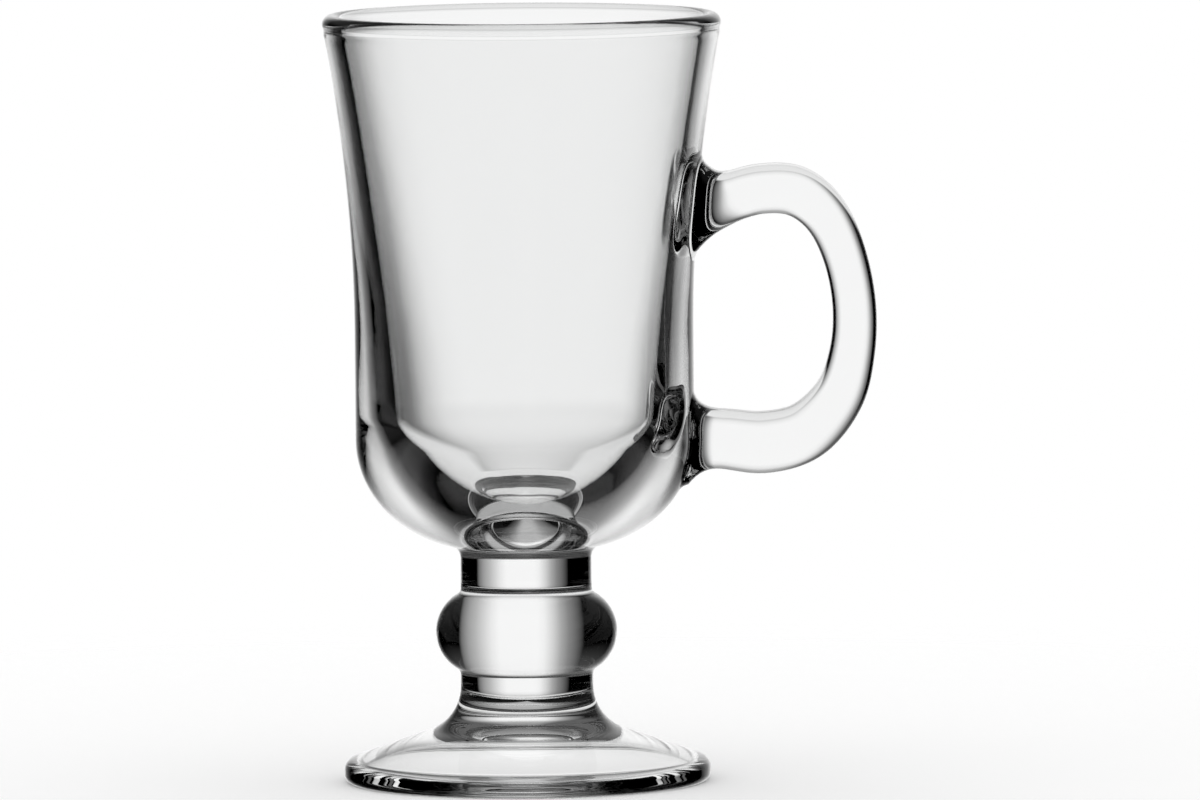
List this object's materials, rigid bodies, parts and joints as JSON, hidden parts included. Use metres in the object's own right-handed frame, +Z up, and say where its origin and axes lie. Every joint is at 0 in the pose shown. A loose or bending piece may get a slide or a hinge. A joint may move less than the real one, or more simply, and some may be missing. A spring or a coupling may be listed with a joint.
{
  "type": "irish coffee glass mug",
  "caption": "Footed clear glass mug with a thick flared bowl, a knopped stem, a round sloping foot and a looped side handle for hot drinks.",
  "frame": {"origin": "on the bowl's axis, in the plane that the foot stands on", "axes": "+Z up along the bowl's axis to the lip, +X from the axis through the handle, +Y to the side"},
  "size_m": [0.1047, 0.0756, 0.146],
  "materials": {
    "clear_glass": "clear fire-polished pressed glass"
  },
  "bodies": {
    "root": {"foot": "clear_glass", "lower_neck": "clear_glass", "knop": "clear_glass", "upper_neck": "clear_glass", "bowl": "clear_glass", "handle": "clear_glass"}
  },
  "joints": []
}
